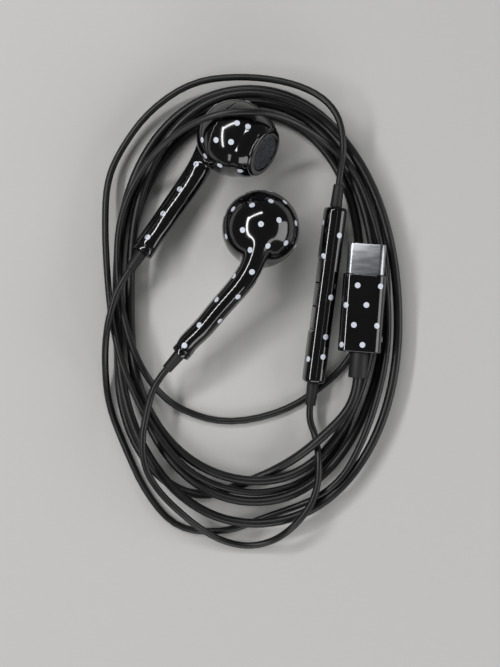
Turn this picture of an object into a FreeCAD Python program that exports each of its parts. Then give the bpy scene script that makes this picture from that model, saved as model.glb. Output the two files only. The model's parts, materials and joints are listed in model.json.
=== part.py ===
# Wired earphones with a three button remote and a USB-C plug, lying in a loose coil.
# Millimetres, +Z up, everything rests on the plane z = 0.
import FreeCAD, Part
import math
import os
from FreeCAD import Vector

os.makedirs("parts", exist_ok=True)

# Clearances
slip_gap = 0.15
seat_gap = 0.05

# Earbud: +Z is the back of the bud, -Z the nozzle, the stem runs along -Y
head_radius = 8.45
parting_height = 1.0
shell_wall = 0.8
nozzle_shoulder_depth = 4.6
nozzle_lip_radius = 5.5
nozzle_lip_depth = 7.5
nozzle_front_radius = 4.9
nozzle_depth = 8.1
grille_radius = 4.1
grille_thickness = 0.3
grille_recess = 0.35
stem_side = 4.7
stem_height = 5.6
stem_length = 31.3
stem_straight_from = 14.0
stem_top_width = 5.0
stem_end_width = 4.25
stem_top_depth = 5.5
stem_end_depth = 5.1
stem_cap_thickness = 1.2
stem_taper = 0.15
# The stem's axis in the bend out of the head: share of stem_side, along, height over the straight axis,
# and how much wider and deeper than the straight stem it is there
stem_bend = [
    (0.13, 2.6, -1.2, 0.0, -0.1),
    (0.28, 0.4, 0.1, 0.2, 0.02),
    (0.66, -4.2, 0.3, 0.2, 0.05),
    (0.95, -9.0, 0.12, 0.0, 0.0),
]

# Driver inside the head
driver_radius = 6.3
driver_depth = 3.4
driver_frame_thickness = 0.8
diaphragm_thickness = 0.15
diaphragm_crown = 0.6
surround_width = 1.3
surround_roll = 0.4
coil_radius = 3.0
coil_wall = 0.2
coil_height = 1.9
magnet_radius = 2.45
magnet_height = 1.6
yoke_radius = 3.8
yoke_wall = 0.5
yoke_height = 2.5
felt_thickness = 0.3

# Cords, their strain reliefs and the anchors inside
main_cord = 2.0
thin_cord = 1.5
bud_boot_root = 2.6
bud_boot_tip = 2.2
bud_boot_length = 4.65
anchor_length = 3.0
anchor_diameter = 2.2

# Remote: +Z is the button face, its length runs along Y
remote_length = 38.8
remote_width = 5.2
remote_thickness = 4.8
remote_corner = 2.0
remote_wall = 0.7
remote_end_round = 0.9
remote_split_height = 0.2
scoop_length = 15.6
scoop_depth = 0.55
scoop_slope = 0.7
key_width = 3.2
key_proud = 0.15
key_count = 3
key_gap = 0.3
key_travel = 0.25
key_round = 0.3
key_wall = 0.7
key_flange = 0.25
key_lip = 0.15
board_thickness = 0.5
board_width = 3.1
board_length = 33.0
switch_size = 2.0
switch_height = 0.5
chip_length = 4.0
chip_width = 2.2
chip_height = 0.7
microphone_length = 2.6
microphone_width = 1.9
microphone_inset = 2.9
microphone_hole_radius = 0.35
mesh_thickness = 0.15
mesh_rim = 0.2
remote_boot_root = 2.65
remote_boot_tip = 2.3
remote_boot_length = 5.0

# Y-split where the main cord becomes the two thin leads
split_length = 11.0
split_width = 4.0
split_neck_width = 3.2
split_thickness = 2.4
split_neck_thickness = 2.3
split_corner = 1.1
lead_spacing = 2.0

# Plug: the metal shell points along +Y, +Z is its upper face
plug_length = 17.0
plug_width = 9.4
plug_thickness = 5.2
plug_corner = 2.1
plug_wall = 0.9
plug_edge_round = 0.35
contact_shell_width = 8.3
contact_shell_height = 2.6
contact_shell_wall = 0.3
contact_shell_reach = 6.65
contact_shell_seat = 1.6
contacts_per_row = 12
contact_pitch = 0.5
contact_width = 0.25
contact_thickness = 0.12
contact_length = 4.2
contact_inset = 0.2
carrier_recess = 0.3
carrier_cheek = 0.6
mouth_slot_height = 0.85
mouth_slot_depth = 5.0
latch_thickness = 0.2
latch_length = 4.0
latch_inset = 0.5
plug_board_length = 11.0
plug_board_width = 6.6
plug_board_thickness = 0.6
plug_chip_size = 3.0
plug_chip_height = 0.8
collar_length = 2.6
collar_wall = 0.35
plug_boot_diameter = 4.1
plug_boot_length = 5.6
plug_boot_round = 0.3

# Where things lie: the camera side is +Z, the coil's long way is Y
near_bud_place = (1.9, 19.9)
near_bud_stem = (-0.66, -0.753)
near_bud_droop = 10.0
left_bud_place = (-3.6, 39.6)
left_bud_stem = (-0.56, -0.83)
left_bud_rise = 9.5
left_bud_nozzle_rise = 25.0
remote_place = (15.9, 5.6, 4.4)
remote_turn = -7.3
remote_tilt = 2.5
remote_roll = -76.0
plug_place = (24.0, 1.6, 7.2)
plug_turn = -4.25
plug_roll = -10.0
split_place = (24.1, 4.4, 1.2)

# From the layout above to the part's own origin, the middle of the buds and the remote
layout_shift = (3.38, -14.66, 0.0)

# Main cord's coil: one value for each turn, from the plug's end to the split
coil_left = (-29.85, -26.8, -29.75, -27.1)
coil_left_height = (1.0, 3.65, 3.6, 1.0)
coil_left_straight = (-2.0, 11.2)
coil_top = (48.87, 50.15, 51.4, 46.25)
coil_top_across = (-0.4, -0.4, -0.4, -0.4)
coil_top_height = (1.0, 5.5, 2.9, 1.0)
coil_right = (27.4, 32.4, 30.0, 24.1)
coil_right_along = (6.8, -0.2, 6.8, 12.5)
coil_right_height = (2.6, 3.6, 1.0, 1.0)
coil_bottom = (-35.5, -44.9, -40.1)
coil_bottom_across = (1.8, 0.9, 0.9)
coil_bottom_height = (3.7, 3.5, 3.7)

# Free stretches of cord, as points by hand: (across, along, height)
plug_lead_route = [
    (20.6, -20.2, 7.1), (15.4, -25.3, 7.0), (10.0, -29.9, 5.1), (4.0, -33.6, 1.3), (-1.6, -35.9, 1.0),
    (-8.4, -38.6, 1.0), (-15.1, -38.2, 1.0), (-21.5, -33.9, 1.0), (-26.6, -26.2, 1.0),
    (-29.3, -17.0, 1.0), (-29.6, -8.8, 1.0),
]
left_lead_route = [
    (22.0, -8.0, 0.75), (17.2, -13.4, 0.75), (7.4, -20.2, 0.75), (-5.9, -23.0, 0.75), (-16.6, -19.5, 0.8),
    (-22.0, -14.2, 3.8), (-25.8, -7.2, 6.0), (-28.4, 1.6, 5.8), (-29.6, 11.0, 5.75), (-29.3, 20.5, 5.9),
    (-26.8, 28.2, 6.1), (-21.8, 36.0, 8.6), (-15.2, 41.0, 12.6), (-8.6, 43.6, 16.2), (-3.0, 44.2, 17.7),
    (3.4, 44.2, 15.9), (9.6, 42.6, 11.0), (15.8, 39.3, 6.0), (22.0, 34.0, 4.5), (25.7, 26.0, 4.6),
    (28.5, 16.0, 4.1), (30.0, 4.0, 3.7), (29.9, -5.9, 3.6), (28.2, -14.8, 3.8), (25.3, -24.1, 4.3),
    (20.9, -33.2, 4.9), (16.3, -37.7, 4.2), (11.5, -40.5, 1.6), (2.7, -43.6, 0.75), (-5.8, -46.9, 0.75),
    (-16.4, -46.4, 0.75), (-23.4, -38.6, 0.75), (-28.4, -27.5, 0.75), (-31.9, -18.5, 0.75),
    (-32.4, -9.6, 3.9), (-31.7, -2.4, 8.2), (-30.3, 3.4, 9.0),
]
right_lead_route = [
    (23.7, -11.5, 0.75), (22.6, -19.5, 0.75), (19.8, -27.4, 0.75), (14.6, -33.4, 0.8), (9.6, -36.3, 2.1),
    (4.0, -37.7, 3.1), (-1.3, -37.9, 3.5), (-8.6, -36.0, 3.8), (-14.0, -32.9, 5.1), (-18.2, -28.4, 5.6),
    (-22.6, -22.0, 6.0), (-26.0, -15.5, 6.0), (-28.8, -8.5, 5.8), (-30.8, 0.5, 5.7), (-31.8, 11.3, 5.5),
    (-32.3, 21.1, 4.6), (-32.0, 30.6, 3.6), (-29.1, 37.5, 3.2), (-22.9, 46.1, 3.6), (-13.3, 52.6, 4.4),
    (-2.5, 53.7, 4.9), (7.6, 52.5, 5.4), (15.2, 49.2, 6.6), (19.2, 44.2, 7.6), (20.0, 37.2, 8.1),
]
remote_lead_route = [
    (14.0, -25.2, 2.9), (14.7, -30.9, 6.3), (14.4, -36.1, 6.3), (12.9, -40.1, 6.4), (10.9, -43.0, 6.4),
    (8.3, -45.8, 5.5), (4.8, -48.6, 2.4), (-0.5, -50.1, 0.75), (-6.1, -48.9, 1.6), (-10.8, -46.2, 3.4),
    (-15.6, -42.1, 5.7), (-20.3, -37.4, 6.8), (-23.4, -32.2, 7.7), (-24.0, -26.0, 8.6), (-22.8, -19.2, 8.1),
]


def across(axis):
    # any unit vector square to an axis
    other = Vector(0, 0, 1) if abs(axis.z) < 0.9 else Vector(1, 0, 0)
    return axis.cross(other).normalize()


def frame(place, x_way, z_way):
    y_way = z_way.cross(x_way)
    turn = FreeCAD.Rotation(x_way, y_way, z_way, "ZXY")
    return FreeCAD.Placement(Vector(*place), turn)


def placed(shape, placement):
    moved = shape.copy()
    moved.Placement = placement.multiply(moved.Placement)
    return moved


def rounded_section(width, height, corner, y, x=0.0, z=0.0):
    # rounded rectangle in the XZ plane at y
    corner = min(corner, 0.49 * width, 0.49 * height)
    dx = width / 2.0 - corner
    dz = height / 2.0 - corner
    bend = corner * math.sqrt(0.5)
    edges = []
    corners = [(1, 1), (-1, 1), (-1, -1), (1, -1)]
    previous = Vector(x + dx + corner, y, z - dz)
    for sx, sz in corners:
        side = sx * sz > 0
        first = Vector(x + sx * (dx + corner), y, z + sz * dz)
        last = Vector(x + sx * dx, y, z + sz * (dz + corner))
        if not side:
            first, last = last, first
        middle = Vector(x + sx * (dx + bend), y, z + sz * (dz + bend))
        edges.append(Part.makeLine(previous, first))
        edges.append(Part.Arc(first, middle, last).toShape())
        previous = last
    return Part.Wire(edges)


def bar(width, height, length, corner, y=0.0, x=0.0, z=0.0):
    # rounded bar along Y, from y to y + length
    face = Part.Face(rounded_section(width, height, corner, y, x, z))
    return face.extrude(Vector(0, length, 0))


def block(width, length, height, x, y, z):
    # plain block: x and y are its middle, z its underside
    return Part.makeBox(width, length, height, Vector(x - width / 2.0, y - length / 2.0, z))


def turned(start, steps):
    # solid of revolution about Z: each step is a line to (r, z) or an arc through a point to another
    edges = []
    here = Vector(start[0], 0, start[1])
    for step in steps:
        there = Vector(step[-2], 0, step[-1])
        if len(step) == 2:
            edges.append(Part.makeLine(here, there))
        else:
            edges.append(Part.Arc(here, Vector(step[0], 0, step[1]), there).toShape())
        here = there
    face = Part.Face(Part.Wire(edges))
    return face.revolve(Vector(0, 0, 0), Vector(0, 0, 1), 360)


def ring(outer, inner, height, x, y, z):
    tube_wall = Part.makeCylinder(outer, height, Vector(x, y, z))
    return tube_wall.cut(Part.makeCylinder(inner, height, Vector(x, y, z)))


def ball_radius(radius, height):
    return math.sqrt(radius * radius - height * height)


def ball_cap(radius, base):
    # the part of a ball above a level
    rim = ball_radius(radius, base)
    lift = 0.5 * (math.asin(base / radius) + math.pi / 2.0)
    middle = (radius * math.cos(lift), radius * math.sin(lift))
    return turned((0, base), [(rim, base), middle + (0, radius), (0, base)])


def stem_sections(shrink, first_section, end):
    # the stem rises out of the back of the head, bends to one side and runs straight to its end
    top_width = stem_top_width / 2.0 - shrink
    top_depth = stem_top_depth / 2.0 - shrink
    end_width = stem_end_width / 2.0 - shrink
    end_depth = stem_end_depth / 2.0 - shrink
    sections = []
    for side_share, y, lift, wider, deeper in stem_bend[first_section:]:
        x = side_share * stem_side
        sections.append((x, y, stem_height + lift, top_width + wider, top_depth + deeper))
    for run in (0.0, 0.35, 0.7, 1.0):
        y = end * run - stem_straight_from * (1 - run)
        share = (y + stem_length) / (stem_length - stem_straight_from)
        wide = end_width + (top_width - stem_taper - end_width) * share
        deep = end_depth + (top_depth - stem_taper / 3.0 - end_depth) * share
        sections.append((stem_side, y, stem_height, wide, deep))
    wires = []
    for index, (x, y, z, wide, deep) in enumerate(sections):
        before = Vector(*sections[max(index - 1, 0)][:3])
        after = Vector(*sections[min(index + 1, len(sections) - 1)][:3])
        way = (after - before).normalize()
        if index == len(sections) - 1:
            way = Vector(0, -1, 0)
        side = way.cross(Vector(0, 0, 1)).normalize()
        depth_way = side.cross(way)
        oval = Part.Ellipse(Vector(0, 0, 0), deep, wide).toShape()
        turn = FreeCAD.Rotation(depth_way, way.cross(depth_way), way, "ZXY")
        oval.Placement = FreeCAD.Placement(Vector(x, y, z), turn)
        wires.append(Part.Wire([oval]))
    return wires


def stem_solid(shrink, first_section, end):
    return Part.makeLoft(stem_sections(shrink, first_section, end), True, False)


def rear_shell():
    outer = ball_cap(head_radius, parting_height)
    outer = outer.fuse(stem_solid(0.0, 0, -stem_length + stem_cap_thickness)).removeSplitter()
    outer = outer.cut(block(4 * head_radius, 4 * head_radius, 3 * head_radius,
                            0, 0, parting_height - 3 * head_radius))
    inner = ball_cap(head_radius - shell_wall, parting_height)
    bore_end = -stem_length + stem_cap_thickness
    return outer.cut(inner).cut(stem_solid(shell_wall, 1, bore_end))


def front_shell():
    depth = nozzle_shoulder_depth
    inside = head_radius - shell_wall
    shoulder = ball_radius(head_radius, depth)
    seat = grille_radius + seat_gap
    ledge = -nozzle_depth + grille_recess + grille_thickness
    lip_bulge = (0.5 * (shoulder + nozzle_lip_radius) + 0.25, -0.5 * (depth + nozzle_lip_depth) - 0.15)
    return turned((ball_radius(head_radius, parting_height), parting_height), [
        (ball_radius(head_radius, 1.8), -1.8, shoulder, -depth),
        lip_bulge + (nozzle_lip_radius, -nozzle_lip_depth),
        (nozzle_lip_radius - 0.15, -nozzle_lip_depth - 0.45, nozzle_front_radius, -nozzle_depth),
        (seat, -nozzle_depth),
        (seat, ledge),
        (grille_radius - 0.5, ledge),
        (grille_radius - 0.5, ledge + 0.45),
        (nozzle_lip_radius - shell_wall, -nozzle_lip_depth + shell_wall),
        (ball_radius(inside, depth), -depth),
        (ball_radius(inside, 1.8), -1.8, ball_radius(inside, parting_height), parting_height),
        (ball_radius(head_radius, parting_height), parting_height),
    ])


def driver_seat():
    # height at which the inside of the front shell has narrowed to the driver's rim
    inside = head_radius - shell_wall
    shoulder = ball_radius(inside, nozzle_shoulder_depth)
    if shoulder < driver_radius:
        return -ball_radius(inside, driver_radius)
    share = (shoulder - driver_radius) / (shoulder - nozzle_lip_radius + shell_wall)
    return -nozzle_shoulder_depth - share * (nozzle_lip_depth - shell_wall - nozzle_shoulder_depth)


def driver_pieces():
    # the driver sits on the narrowing wall of the front shell, magnet towards the back
    front = driver_seat() + 3 * seat_gap
    frame_back = front + driver_frame_thickness
    yoke_back = front + driver_depth
    yoke_inner = yoke_radius - yoke_wall
    pieces = {}
    basket = ring(driver_radius, yoke_radius + seat_gap, driver_frame_thickness, 0, 0, front)
    collar = ring(yoke_radius + 0.5, yoke_radius + seat_gap, 1.2, 0, 0, frame_back)
    pieces["driver_frame"] = basket.fuse(collar).removeSplitter()
    cup = ring(yoke_radius, yoke_inner, yoke_height - yoke_wall, 0, 0, yoke_back - yoke_height)
    base = Part.makeCylinder(yoke_radius, yoke_wall, Vector(0, 0, yoke_back - yoke_wall))
    pieces["yoke"] = cup.fuse(base).removeSplitter()
    magnet_low = yoke_back - yoke_wall - magnet_height
    pieces["magnet"] = Part.makeCylinder(magnet_radius, magnet_height, Vector(0, 0, magnet_low))
    pieces["voice_coil"] = ring(coil_radius, coil_radius - coil_wall, coil_height, 0, 0, front)
    rim = driver_radius - 0.1
    skin = diaphragm_thickness
    dome = 0.8 * diaphragm_crown
    pieces["diaphragm"] = turned((0, front - diaphragm_crown - skin), [
        (0.5 * coil_radius, front - dome - skin),
        (coil_radius, front - skin),
        (rim - surround_width, front - skin),
        (rim - 0.5 * surround_width, front - surround_roll - skin),
        (rim, front - skin),
        (rim, front),
        (rim - 0.5 * surround_width, front - surround_roll),
        (rim - surround_width, front),
        (coil_radius, front),
        (0.5 * coil_radius, front - dome),
        (0, front - diaphragm_crown),
        (0, front - diaphragm_crown - skin),
    ])
    pieces["damping_felt"] = Part.makeCylinder(yoke_radius - 0.8, felt_thickness, Vector(0, 0, yoke_back))
    return pieces


def round_along(y, length, first, last):
    # round bar or taper on the stem's axis, running towards -Y
    start = Vector(stem_side, y, stem_height)
    if abs(first - last) < 1e-6:
        return Part.makeCylinder(first, length, start, Vector(0, -1, 0))
    return Part.makeCone(first, last, length, start, Vector(0, -1, 0))


def bud_pieces():
    end = -stem_length
    neck = 0.35 * bud_boot_root
    pieces = {"rear_shell": rear_shell(), "front_shell": front_shell()}
    grille_low = -nozzle_depth + grille_recess
    pieces["grille"] = Part.makeCylinder(grille_radius, grille_thickness, Vector(0, 0, grille_low))
    pieces.update(driver_pieces())
    cap_face = Part.Face(stem_sections(0.0, 0, end + stem_cap_thickness)[-1])
    cap = cap_face.extrude(Vector(0, -stem_cap_thickness, 0))
    inner_end = end + stem_cap_thickness
    bore = neck + seat_gap
    pieces["stem_cap"] = cap.cut(round_along(inner_end, stem_cap_thickness, bore, bore))
    sleeve = round_along(end, bud_boot_length, bud_boot_root / 2.0, bud_boot_tip / 2.0)
    core = round_along(inner_end, stem_cap_thickness, neck, neck)
    pieces["boot"] = sleeve.fuse(core).removeSplitter()
    knot = anchor_diameter / 2.0
    pieces["cable_anchor"] = round_along(inner_end + anchor_length, anchor_length, knot, knot)
    return pieces


def bud_frames():
    # near bud: nozzle down on the surface, stem sinking a little; left bud: on its side
    droop = math.radians(near_bud_droop)
    along = Vector(near_bud_stem[0], near_bud_stem[1], 0).normalize()
    up = Vector(0, 0, 1)
    stem = along * math.cos(droop) - up * math.sin(droop)
    back = along * math.sin(droop) + up * math.cos(droop)
    near = frame(near_bud_place + (0,), (stem * -1).cross(back), back)
    rise = math.radians(left_bud_rise)
    tip = math.radians(left_bud_nozzle_rise)
    along = Vector(left_bud_stem[0], left_bud_stem[1], 0).normalize()
    stem = along * math.cos(rise) + up * math.sin(rise)
    sideways = up.cross(along).normalize()
    over = stem.cross(sideways)
    if over.z < 0:
        over = over * -1
    nozzle = sideways * math.cos(tip) + over * math.sin(tip)
    left = frame(left_bud_place + (0,), (stem * -1).cross(nozzle * -1), nozzle * -1)
    return near, left


def rested(frame_now, shapes):
    # lifts a frame until the lowest of its shapes lies on the plane z = 0
    low = min(placed(shape, frame_now).optimalBoundingBox(False).ZMin for shape in shapes)
    frame_now.Base = frame_now.Base - Vector(0, 0, low)
    return frame_now


def key_places():
    pitch = scoop_length / key_count
    return [(index - (key_count - 1) / 2.0) * pitch for index in range(key_count)]


def boot_pieces(prefix, neck_z):
    # strain reliefs at both ends, each with a neck that reaches through the end wall
    pieces = {}
    neck = 0.35 * remote_boot_root
    for name, way in ((prefix + "upper_boot", 1), (prefix + "lower_boot", -1)):
        start = Vector(0, way * remote_length / 2.0, neck_z)
        sleeve = Part.makeCone(remote_boot_root / 2.0, remote_boot_tip / 2.0, remote_boot_length, start,
                               Vector(0, way, 0))
        inner = start - Vector(0, way * remote_wall, 0)
        core = Part.makeCylinder(neck, remote_wall, inner, Vector(0, way, 0))
        pieces[name] = sleeve.fuse(core).removeSplitter()
    return pieces


def remote_pieces():
    # rear cover below the split, front cover with the keys above it
    half = remote_thickness / 2.0
    inner_width = remote_width - 2 * remote_wall
    body = bar(remote_width, remote_thickness, remote_length, remote_corner, -remote_length / 2.0)
    ends = [edge for edge in body.Edges if abs(abs(edge.CenterOfMass.y) - remote_length / 2.0) < 1e-6]
    body = body.makeFillet(remote_end_round, ends)
    inside = bar(inner_width, remote_thickness - 2 * remote_wall, remote_length - 2 * remote_wall,
                 remote_corner - remote_wall, -remote_length / 2.0 + remote_wall)
    hollow = body.cut(inside)
    above = block(2 * remote_width, 2 * remote_length, remote_thickness, 0, 0, remote_split_height)
    neck = 0.35 * remote_boot_root + seat_gap
    necks = Part.makeCylinder(neck, 2 * remote_length, Vector(0, -remote_length, 0), Vector(0, 1, 0))
    shell = hollow.cut(necks)
    pieces = {}
    microphone_place = board_length / 2.0 - microphone_inset
    port = Part.makeCylinder(microphone_hole_radius, remote_wall, Vector(0, microphone_place, -half))
    pieces["remote_rear_cover"] = shell.cut(above).cut(port)

    scoop_floor = half - scoop_depth
    reach = scoop_length / 2.0
    outline = [Vector(-remote_width, -reach - scoop_slope, half), Vector(-remote_width, -reach, scoop_floor),
               Vector(-remote_width, reach, scoop_floor), Vector(-remote_width, reach + scoop_slope, half)]
    outline += [Vector(-remote_width, reach + scoop_slope, 2 * half),
                Vector(-remote_width, -reach - scoop_slope, 2 * half), outline[0]]
    scoop = Part.Face(Part.makePolygon(outline)).extrude(Vector(2 * remote_width, 0, 0))
    shelf_low = scoop_floor - key_wall
    shelf_height = half - 0.5 * remote_wall - shelf_low
    shelf = block(inner_width, scoop_length + 2 * scoop_slope, shelf_height, 0, 0, shelf_low)
    shelf = shelf.common(body)
    front = shell.common(above).fuse(shelf).cut(scoop)

    # the three keys share one opening, and their flanges run in a pocket below the shelf
    opening_width = key_width + 2 * slip_gap
    opening_length = scoop_length - key_gap + 2 * slip_gap
    opening = key_outline(opening_width, opening_length, key_round + slip_gap, 0, shelf_low - key_wall)
    flange_top = shelf_low - seat_gap
    flange_width = opening_width + 2 * key_lip
    pressed_low = flange_top - key_flange - key_travel - seat_gap
    pocket = block(flange_width + 2 * slip_gap, opening_length, shelf_low - pressed_low, 0, 0, pressed_low)
    front = front.cut(Part.Face(opening).extrude(Vector(0, 0, 3 * key_wall))).cut(pocket)
    pieces["remote_front_cover"] = front.removeSplitter()
    key_length = scoop_length / key_count - key_gap
    key_height = scoop_floor + key_proud - flange_top
    flange_length = key_length - 2 * key_round
    for name, place in zip(("volume_down_button", "play_button", "volume_up_button"), key_places()):
        cap = Part.Face(key_outline(key_width, key_length, key_round, place, flange_top))
        flange_low = flange_top - key_flange
        flange = Part.Face(key_outline(flange_width, flange_length, key_round, place, flange_low))
        cap = cap.extrude(Vector(0, 0, key_height))
        pieces[name] = cap.fuse(flange.extrude(Vector(0, 0, key_flange))).removeSplitter()

    board_top = pressed_low - switch_height
    board_low = board_top - board_thickness
    pieces["remote_board"] = block(board_width, board_length, board_thickness, 0, 0, board_low)
    pieces["remote_switches"] = Part.makeCompound([
        block(switch_size, switch_size, switch_height, 0, place, board_top) for place in key_places()])
    chip_low = board_low - chip_height
    pieces["remote_chip"] = block(chip_width, chip_length, chip_height, 0, -microphone_place, chip_low)
    mesh_low = -half + remote_wall
    mic_low = mesh_low + mesh_thickness
    pieces["microphone"] = block(microphone_width, microphone_length, board_low - mic_low,
                                 0, microphone_place, mic_low)
    pieces["microphone_mesh"] = Part.makeCylinder(microphone_hole_radius + mesh_rim, mesh_thickness,
                                                  Vector(0, microphone_place, mesh_low))
    pieces.update(boot_pieces("remote_", 0.0))
    return pieces


def key_outline(width, length, corner, y, z):
    # rounded rectangle in an XY plane
    wire = rounded_section(width, length, corner, 0)
    wire.Placement = FreeCAD.Placement(Vector(0, y, z), FreeCAD.Rotation(Vector(1, 0, 0), -90))
    return wire


def split_piece():
    # moulded yoke: narrow where the main cord enters, wide where the two leads leave
    half = split_length / 2.0
    neck = rounded_section(split_neck_width, split_neck_thickness, split_corner, half)
    middle_width = 0.5 * (split_neck_width + split_width)
    middle = rounded_section(middle_width, split_thickness, split_corner, 0)
    wide = rounded_section(split_width, split_thickness, split_corner, -half)
    return Part.makeLoft([neck, middle, wide], True, False)


def plug_pieces():
    pieces = {}
    half = plug_length / 2.0
    body = bar(plug_width, plug_thickness, plug_length, plug_corner, -half)
    ends = [edge for edge in body.Edges if abs(abs(edge.CenterOfMass.y) - half) < 1e-6]
    body = body.makeFillet(plug_edge_round, ends)
    cavity = bar(plug_width - 2 * plug_wall, plug_thickness - 2 * plug_wall, plug_length - 2 * plug_wall,
                 plug_corner - plug_wall, -half + plug_wall)
    round_end = contact_shell_height / 2.0
    window_end = half - contact_shell_seat - seat_gap
    window = bar(contact_shell_width + 2 * seat_gap, contact_shell_height + 2 * seat_gap,
                 contact_shell_seat + 2 * seat_gap, round_end + seat_gap, window_end)
    neck = 0.35 * plug_boot_diameter
    ahead = Vector(0, 1, 0)
    rear_hole = Part.makeCylinder(neck + seat_gap, 2 * plug_wall, Vector(0, -half - plug_wall, 0), ahead)
    pieces["plug_housing"] = body.cut(cavity).cut(window).cut(rear_hole)

    tip = half + contact_shell_reach
    shell_length = contact_shell_reach + contact_shell_seat
    inner_width = contact_shell_width - 2 * contact_shell_wall
    inner_height = contact_shell_height - 2 * contact_shell_wall
    seat_end = half - contact_shell_seat
    shell = bar(contact_shell_width, contact_shell_height, shell_length, round_end, seat_end)
    bore = bar(inner_width, inner_height, shell_length, inner_height / 2.0, seat_end)
    pieces["plug_metal_shell"] = shell.cut(bore)

    carrier_width = inner_width - 2 * seat_gap
    carrier_height = inner_height - 2 * seat_gap
    mouth = tip - carrier_recess
    carrier = bar(carrier_width, carrier_height, mouth - seat_end, carrier_height / 2.0, seat_end)
    slot = block(carrier_width - 2 * carrier_cheek, mouth_slot_depth, mouth_slot_height, 0,
                 mouth - mouth_slot_depth / 2.0, -mouth_slot_height / 2.0)
    carrier = carrier.cut(slot)
    contacts = []
    latches = []
    for row in (-1, 1):
        base = row * mouth_slot_height / 2.0
        low = base if row > 0 else base - contact_thickness
        for index in range(contacts_per_row):
            x = (index - (contacts_per_row - 1) / 2.0) * contact_pitch
            strip_middle = mouth - mouth_slot_depth + contact_inset + contact_length / 2.0
            contacts.append(block(contact_width, contact_length, contact_thickness, x, strip_middle, low))
        side = row * (carrier_width / 2.0 - carrier_cheek - latch_thickness / 2.0)
        latch_middle = mouth - latch_inset - latch_length / 2.0
        latches.append(block(latch_thickness, latch_length, 0.6 * mouth_slot_height, side,
                             latch_middle, -0.3 * mouth_slot_height))
    pieces["plug_contacts"] = Part.makeCompound(contacts)
    pieces["plug_latches"] = Part.makeCompound(latches)
    pieces["plug_contact_carrier"] = carrier.cut(pieces["plug_contacts"])

    board_middle = seat_end - plug_board_length / 2.0
    half_board = plug_board_thickness / 2.0
    pieces["plug_board"] = block(plug_board_width, plug_board_length, plug_board_thickness,
                                 0, board_middle, -half_board)
    pieces["plug_chip"] = block(plug_chip_size, plug_chip_size, plug_chip_height,
                                0, board_middle, half_board)
    pieces["crimp_collar"] = Part.makeCylinder(main_cord / 2.0 + collar_wall, collar_length,
                                               Vector(0, -half + plug_wall, 0), ahead)
    tail_end = -half - plug_boot_length
    sleeve = Part.makeCylinder(plug_boot_diameter / 2.0, plug_boot_length, Vector(0, tail_end, 0), ahead)
    tail = [edge for edge in sleeve.Edges if abs(edge.CenterOfMass.y - tail_end) < 1e-6]
    sleeve = sleeve.makeFillet(plug_boot_round, tail)
    core = Part.makeCylinder(neck, plug_wall, Vector(0, -half, 0), ahead)
    pieces["plug_boot"] = sleeve.fuse(core).removeSplitter()
    return pieces


def bend_arc(start, apex, end):
    # circular arc that starts at start and ends at end, tangent to the legs that meet at apex
    weight = (end - start).Length / (2 * (apex - start).Length)
    middle = (start + apex * (2 * weight) + end) * (1.0 / (2 + 2 * weight))
    return Part.Arc(start, middle, end).toShape()


def stretch_path(points):
    # straight runs joined by tangent arcs, each as large as its two runs allow
    points = [Vector(*point) for point in points]
    edges = []
    radii = []
    here = points[0]
    for before, corner, after in zip(points, points[1:], points[2:]):
        arriving = (corner - before)
        leaving = (after - corner)
        half_turn = 0.5 * arriving.getAngle(leaving)
        leg = 0.45 * min(arriving.Length, leaving.Length)
        radii.append(leg / math.tan(half_turn))
        first = corner - arriving.normalize() * leg
        last = corner + leaving.normalize() * leg
        edges.append(Part.makeLine(here, first))
        edges.append(bend_arc(first, corner, last))
        here = last
    edges.append(Part.makeLine(here, points[-1]))
    return Part.Wire(edges), radii


def quarter_turn(start, start_way, end, end_way):
    # two arcs that join two points with their given directions
    span = end - start
    ways = start_way + end_way
    square = 2 * (1 - start_way.dot(end_way))
    along = span.dot(ways)
    leg = (math.sqrt(along * along + square * span.dot(span)) - along) / square
    joint = (start + start_way * leg + end - end_way * leg) * 0.5
    return [bend_arc(start, start + start_way * leg, joint), bend_arc(joint, end - end_way * leg, end)]


def coil_path():
    low, high = coil_left_straight
    up, over, down, back = Vector(0, 1, 0), Vector(1, 0, 0), Vector(0, -1, 0), Vector(-1, 0, 0)
    edges = []
    for turn in range(len(coil_left)):
        left_low = Vector(coil_left[turn], low, coil_left_height[turn])
        left_high = Vector(coil_left[turn], high, coil_left_height[turn])
        top = Vector(coil_top_across[turn], coil_top[turn], coil_top_height[turn])
        right = Vector(coil_right[turn], coil_right_along[turn], coil_right_height[turn])
        edges.append(Part.makeLine(left_low, left_high))
        edges += quarter_turn(left_high, up, top, over)
        edges += quarter_turn(top, over, right, down)
        if turn < len(coil_bottom):
            bottom = Vector(coil_bottom_across[turn], coil_bottom[turn], coil_bottom_height[turn])
            next_left = Vector(coil_left[turn + 1], low, coil_left_height[turn + 1])
            edges += quarter_turn(right, down, bottom, back)
            edges += quarter_turn(bottom, back, next_left, up)
    split_top = Vector(right.x, split_place[1] + split_length / 2.0, right.z)
    edges.append(Part.makeLine(right, split_top))
    return Part.Wire(edges)


def tube(path, diameter):
    start = path.OrderedVertexes[0].Point
    first_edge = path.OrderedEdges[0]
    way = first_edge.tangentAt(first_edge.FirstParameter)
    if (first_edge.valueAt(first_edge.FirstParameter) - start).Length > 1e-6:
        way = first_edge.tangentAt(first_edge.LastParameter)
    section = Part.Wire([Part.makeCircle(diameter / 2.0, start, way)])
    return path.makePipeShell([section], True, False)


def least_self_gap(path, diameter):
    points = path.discretize(Number=int(path.Length / 0.7))
    step = path.Length / (len(points) - 1)
    skip = int(4 * diameter / step)
    least = path.Length
    for index, point in enumerate(points):
        for other in points[index + skip:]:
            least = min(least, point.distanceToPoint(other))
    return least - diameter


def lead_out(placement, tip, way, distance):
    # the tip of a boot and a point straight out of it
    start = placement.multVec(tip)
    outward = placement.Rotation.multVec(way)
    return start, start + outward * distance


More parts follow.
